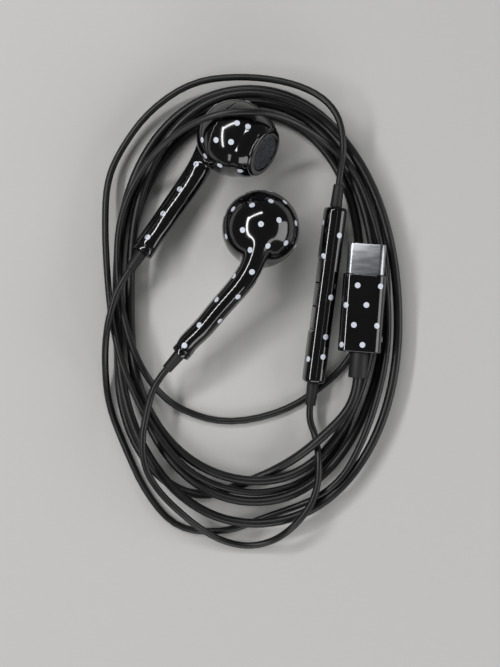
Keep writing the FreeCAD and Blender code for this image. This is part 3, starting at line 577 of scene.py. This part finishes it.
def headRays(s, mirror):
    # a flat lattice, every other row shifted by half a step, wrapped round the head
    rays = []
    turn = math.radians(s["headTurn"])
    rowWay = Vector((math.cos(turn), math.sin(turn)))
    nextWay = Vector((-math.sin(turn), math.cos(turn)))
    for row in range(-s["headRows"], s["headRows"] + 1):
        for column in range(-s["headColumns"], s["headColumns"] + 1):
            shift = 0.5 * (row % 2)
            flat = (Vector(s["headAnchor"]) + rowWay * s["headPitch"] * (column + shift)
                    + nextWay * s["headRowPitch"] * row)
            polar = flat.length / s["headRadius"]
            if polar > s["headReach"]:
                continue
            spin = math.atan2(flat.y, flat.x)
            way = Vector((mirror * math.sin(polar) * math.cos(spin), math.sin(polar) * math.sin(spin),
                          math.cos(polar)))
            rays.append((way * s["headStart"], -way))
    return rays


def stemRays(s, mirror):
    # lines along the stem, every other line shifted by half a step
    rays = []
    for index, angle in enumerate(s["stemAngles"]):
        across = Vector((mirror * math.cos(math.radians(angle)), 0.0, math.sin(math.radians(angle))))
        y = s["stemStart"] - 0.5 * s["stemPitch"] * (index % 2)
        while y > s["stemEnd"]:
            axis = Vector((mirror * s["stemSide"], y, s["stemHeight"]))
            rays.append((axis + across * s["sideStart"], -across))
            y -= s["stemPitch"]
    return rays


def boxRays(s, halfLength):
    # rows round a long piece, every other row shifted by half a step
    rays = []
    rows = int(2 * halfLength / s["boxPitch"])
    stepAngle = 2 * math.pi / s["boxAround"]
    for row in range(rows):
        along = -halfLength + (row + 0.5) * 2 * halfLength / rows
        for step in range(s["boxAround"]):
            angle = stepAngle * (step + 0.5 * (row % 2))
            way = Vector((math.cos(angle), 0.0, math.sin(angle)))
            rays.append((Vector((0.0, along, 0.0)) + way * s["sideStart"], -way))
    return rays


def dotTree():
    # a disc on each point, turned to its normal, then laid on the target's surface
    tree = bpy.data.node_groups.new("printedDots", "GeometryNodeTree")
    kinds = {"Geometry": "Geometry", "Target": "Object", "Radius": "Float", "Sides": "Int",
             "Lift": "Float", "Start": "Float", "Reach": "Float", "Ink": "Material"}
    for name, kind in kinds.items():
        tree.interface.new_socket(name, in_out="INPUT", socket_type="NodeSocket" + kind)
    tree.interface.new_socket("Geometry", in_out="OUTPUT", socket_type="NodeSocketGeometry")
    given = addNode(tree, "NodeGroupInput").outputs
    facing = addNode(tree, "GeometryNodeInputNamedAttribute", {"data_type": "FLOAT_VECTOR"},
                     {"Name": "facing"}).outputs["Attribute"]
    disc = addNode(tree, "GeometryNodeMeshCircle", {"fill_type": "TRIANGLE_FAN"},
                   {"Vertices": given["Sides"], "Radius": given["Radius"]})
    finer = addNode(tree, "GeometryNodeSubdivideMesh", {}, {"Mesh": disc.outputs["Mesh"], "Level": 1})
    turned = addNode(tree, "FunctionNodeAlignEulerToVector", {"axis": "Z"}, {"Vector": facing})
    copies = addNode(tree, "GeometryNodeInstanceOnPoints", {},
                     {"Points": given["Geometry"], "Instance": finer.outputs["Mesh"],
                      "Rotation": turned.outputs["Rotation"]})
    real = addNode(tree, "GeometryNodeRealizeInstances", {}, {"Geometry": copies.outputs["Instances"]})
    position = addNode(tree, "GeometryNodeInputPosition").outputs["Position"]
    outside = addNode(tree, "ShaderNodeVectorMath", {"operation": "MULTIPLY_ADD"},
                      {0: facing, 1: given["Start"], 2: position}).outputs[0]
    inward = addNode(tree, "ShaderNodeVectorMath", {"operation": "SCALE"},
                     {0: facing, "Scale": -1.0}).outputs[0]
    target = addNode(tree, "GeometryNodeObjectInfo", {"transform_space": "ORIGINAL"},
                     {"Object": given["Target"]})
    cast = addNode(tree, "GeometryNodeRaycast", {},
                   {"Target Geometry": target.outputs["Geometry"], "Source Position": outside,
                    "Ray Direction": inward, "Ray Length": given["Reach"]})
    raised = addNode(tree, "ShaderNodeVectorMath", {"operation": "SCALE"},
                     {0: facing, "Scale": given["Lift"]})
    landed = addNode(tree, "ShaderNodeVectorMath", {"operation": "ADD"},
                     {0: cast.outputs["Hit Position"], 1: raised.outputs[0]})
    laid = addNode(tree, "GeometryNodeSetPosition", {},
                   {"Geometry": real.outputs["Geometry"], "Selection": cast.outputs["Is Hit"],
                    "Position": landed.outputs[0]})
    smooth = addNode(tree, "GeometryNodeSetShadeSmooth", {}, {"Geometry": laid.outputs["Geometry"]})
    inked = addNode(tree, "GeometryNodeSetMaterial", {},
                    {"Geometry": smooth.outputs[0], "Material": given["Ink"]})
    addNode(tree, "NodeGroupOutput", {}, {0: inked.outputs["Geometry"]})
    return tree


dotsTree = dotTree()


def printedDots(name, target, hits, s):
    mesh = bpy.data.meshes.new(name)
    mesh.from_pydata([place for place, normal in hits], [], [])
    facing = mesh.attributes.new("facing", "FLOAT_VECTOR", "POINT")
    for index, (place, normal) in enumerate(hits):
        facing.data[index].vector = normal
    piece = bpy.data.objects.new(name, mesh)
    bpy.context.collection.objects.link(piece)
    modifier = piece.modifiers.new("dots", "NODES")
    modifier.node_group = dotsTree
    values = {"Target": target, "Radius": metres(s["radiusMm"]), "Sides": s["sides"],
              "Lift": metres(s["liftMm"]), "Start": metres(s["startMm"]), "Reach": metres(s["reachMm"]),
              "Ink": materials["padPrintedInk"]}
    for item in dotsTree.interface.items_tree:
        if item.in_out == "INPUT" and item.name in values:
            modifier[item.identifier] = values[item.name]
    settled(piece)
    print(name, len(hits), "dots")
    return addPiece(piece, "gloss_black_shell")


dottedPieces = {
    side: {"rear": rearShells[side], "front": finished[side + "_front_shell"],
           "cap": finished[side + "_stem_cap"]}
    for side in mirrors
}
dottedPieces["plug"] = {"housing": finished["plug_housing"]}
dottedPieces["remote"] = {"front": finished["remote_front_cover"], "rear": finished["remote_rear_cover"]}
hiddenRays = {
    side: framedRays(budFrames[side], headRays(dotSettings, mirror) + stemRays(dotSettings, mirror))
    for side, mirror in mirrors.items()
}
hiddenRays["plug"] = framedRays(plugFrame, boxRays(dotSettings, dotSettings["plugHalf"]))
hiddenRays["remote"] = framedRays(remoteFrame, boxRays(dotSettings, dotSettings["remoteHalf"]))
for group, targets in dottedPieces.items():
    seen = nearestHits(targets, viewRays(dotSettings, seenDots[group]), dotSettings)
    hidden = nearestHits(targets, hiddenRays[group], dotSettings)
    print(group, "dots seen:", sum(len(hits) for hits in seen.values()), "of", len(seenDots[group]))
    for name, target in targets.items():
        hits = withHiddenSides(seen[name], hidden[name], dotSettings)
        if hits:
            dotName = group + name.capitalize() + "Dots"
            printedDots(dotName, target, hits, dotSettings)

# Parting seams along the stems, in the bud's own millimetres
seamSettings = {"radiusMm": 0.07, "bevelSteps": 2, "start": -8.5, "end": -30.0, "steps": 16,
                "sideways": {"Upper": 1.0, "Lower": -1.0}}


def stemSeam(name, side, sideways, s):
    # a fine bead where the two halves of the stem's mould met
    rays = []
    for step in range(s["steps"]):
        y = s["start"] + (s["end"] - s["start"]) * step / (s["steps"] - 1)
        axis = Vector((mirrors[side] * dotSettings["stemSide"], y, dotSettings["stemHeight"]))
        outward = Vector((sideways, 0.0, 0.0))
        rays.append((axis + outward * dotSettings["sideStart"], -outward))
    tree = surfaceTree(rearShells[side])
    hits = [firstHit(tree, ray, dotSettings) for ray in framedRays(budFrames[side], rays)]
    places = [hit[0] for hit in hits if hit]
    curve = bpy.data.curves.new(name, "CURVE")
    curve.dimensions = "3D"
    curve.bevel_depth = metres(s["radiusMm"])
    curve.bevel_resolution = s["bevelSteps"]
    curve.use_fill_caps = True
    spline = curve.splines.new("POLY")
    spline.points.add(len(places) - 1)
    for target, place in zip(spline.points, places):
        target.co = place.to_4d()
    bead = bpy.data.objects.new(name, curve)
    bpy.context.collection.objects.link(bead)
    mesh = bpy.data.meshes.new_from_object(bead.evaluated_get(bpy.context.evaluated_depsgraph_get()))
    bpy.data.objects.remove(bead)
    mesh.polygons.foreach_set("use_smooth", [True] * len(mesh.polygons))
    return addPiece(meshObject(name, mesh, materials["lacqueredAbs"]), "gloss_black_shell")


for side in mirrors:
    for place, sideways in seamSettings["sideways"].items():
        stemSeam(side + place + "Seam", side, sideways, seamSettings)
print("seams ready")

# Woven wires in the nozzles, in the bud's own millimetres
meshSettings = {"radius": 4.05, "pitch": 0.5, "wire": 0.085, "corners": 5, "front": -7.85,
                "waveShare": 0.8, "stepShare": 0.5}


def addWire(work, matrix, across, line, s):
    # rings of corners along the wire's wave, closed at both ends
    offset = line * s["pitch"]
    reach = math.sqrt(s["radius"] ** 2 - offset ** 2)
    steps = int(2 * reach / (s["stepShare"] * s["pitch"]))
    rings = []
    for step in range(steps + 1):
        run = -reach + 2 * reach * step / steps
        wave = s["waveShare"] * s["wire"] * math.cos(math.pi * (run / s["pitch"] + line + across))
        ring = []
        for corner in range(s["corners"]):
            turn = 2 * math.pi * corner / s["corners"]
            aside = offset + s["wire"] * math.cos(turn)
            height = s["front"] + wave + s["wire"] * math.sin(turn)
            point = (aside, run, height) if across else (run, aside, height)
            ring.append(work.verts.new(matrix @ Vector(point)))
        rings.append(ring)
    for first, second in zip(rings, rings[1:]):
        for corner in range(s["corners"]):
            after = (corner + 1) % s["corners"]
            work.faces.new((first[corner], first[after], second[after], second[corner]))
    work.faces.new(rings[0])
    work.faces.new(rings[-1])


def wovenMesh(name, matrix, s):
    # wires both ways, each over one and under the next
    work = bmesh.new()
    count = int(s["radius"] / s["pitch"])
    for across in (0, 1):
        for line in range(-count, count + 1):
            addWire(work, matrix, across, line, s)
    bmesh.ops.recalc_face_normals(work, faces=work.faces)
    for face in work.faces:
        face.smooth = True
    mesh = bpy.data.meshes.new(name)
    work.to_mesh(mesh)
    work.free()
    return addPiece(meshObject(name, mesh, materials["blackenedWire"]), "woven_mesh")


for side in mirrors:
    wovenMesh(side + "WovenMesh", budFrames[side], meshSettings)
print("nozzle meshes ready")

# The cords join the main body in place of the CAD cords, which are hidden
addPiece(mainCord, "cord_elastomer", "plug_lead", "main_cord_coil")
addPiece(leftLead, "cord_elastomer", "left_lead")
addPiece(rightLead, "cord_elastomer", "right_lead")
addPiece(remoteLead, "cord_elastomer", "remote_lead")

# Floor: uncoated paper, pale grey with a faint grain, sizes in metres
floorSettings = {"halfWidth": 2, "dark": "B4B3B1", "light": "C9C8C6", "tone": (0.82, 0.92),
                 "grain": {"Scale": 400.0, "Detail": 4.0}, "bump": 0.1, "relief": 0.0001}


def paperMaterial(s):
    material, tree, coords = startMaterial("mattePaper")
    grain = addNode(tree, "ShaderNodeTexNoise", {}, {"Vector": coords, **s["grain"]}).outputs["Fac"]
    lowest, highest = s["tone"]
    tone = addNode(tree, "ShaderNodeMapRange", {},
                   {"Value": grain, "To Min": lowest, "To Max": highest}).outputs["Result"]
    colour = addNode(tree, "ShaderNodeMix", {"data_type": "RGBA"},
                     {"Factor": tone, "A": toLinear(s["dark"]), "B": toLinear(s["light"])})
    bump = addNode(tree, "ShaderNodeBump", {},
                   {"Height": grain, "Strength": s["bump"], "Distance": s["relief"]})
    endMaterial(tree, colour.outputs["Result"], tone, bump.outputs["Normal"], {})
    return material


def plainFloor(s):
    half = s["halfWidth"]
    corners = [(-half, -half, 0), (half, -half, 0), (half, half, 0), (-half, half, 0)]
    mesh = bpy.data.meshes.new("floor")
    mesh.from_pydata(corners, [], [(0, 1, 2, 3)])
    return meshObject("floor", mesh, paperMaterial(s))


plainFloor(floorSettings)
print("floor ready")

# Soft light: two strips, two panels and a dim room, placed in layout millimetres with sizes in metres
lightSettings = {
    "leftStrip": {"at": (-245.0, 20.0, 310.0), "size": (0.40, 0.035), "watts": 0.75},
    "topStrip": {"at": (-105.0, 245.0, 320.0), "size": (0.30, 0.035), "watts": 0.55},
    "rightPanel": {"at": (330.0, -30.0, 150.0), "size": (0.30, 0.20), "watts": 0.55},
    "lowPanel": {"at": (30.0, -330.0, 170.0), "size": (0.34, 0.16), "watts": 0.48},
}
roomSettings = {"colour": "DADADA", "strength": 0.12, "aim": (0.0, 3.0, 0.0)}


def softLamp(name, light, aim):
    lamp = bpy.data.lights.new(name, "AREA")
    lamp.shape = "RECTANGLE"
    lamp.size, lamp.size_y = light["size"]
    lamp.energy = light["watts"]
    holder = bpy.data.objects.new(name, lamp)
    holder.location = inPart(light["at"])
    holder.rotation_euler = (aim - holder.location).to_track_quat("-Z", "Y").to_euler()
    bpy.context.collection.objects.link(holder)


for name, light in lightSettings.items():
    softLamp(name, light, inPart(roomSettings["aim"]))
world = bpy.data.worlds.new("softRoom")
bpy.context.scene.world = world
world.use_nodes = True
background = world.node_tree.nodes["Background"].inputs
background["Color"].default_value = toLinear(roomSettings["colour"])
background["Strength"].default_value = roomSettings["strength"]
bpy.context.scene.view_settings.view_transform = "Standard"
print("light ready")
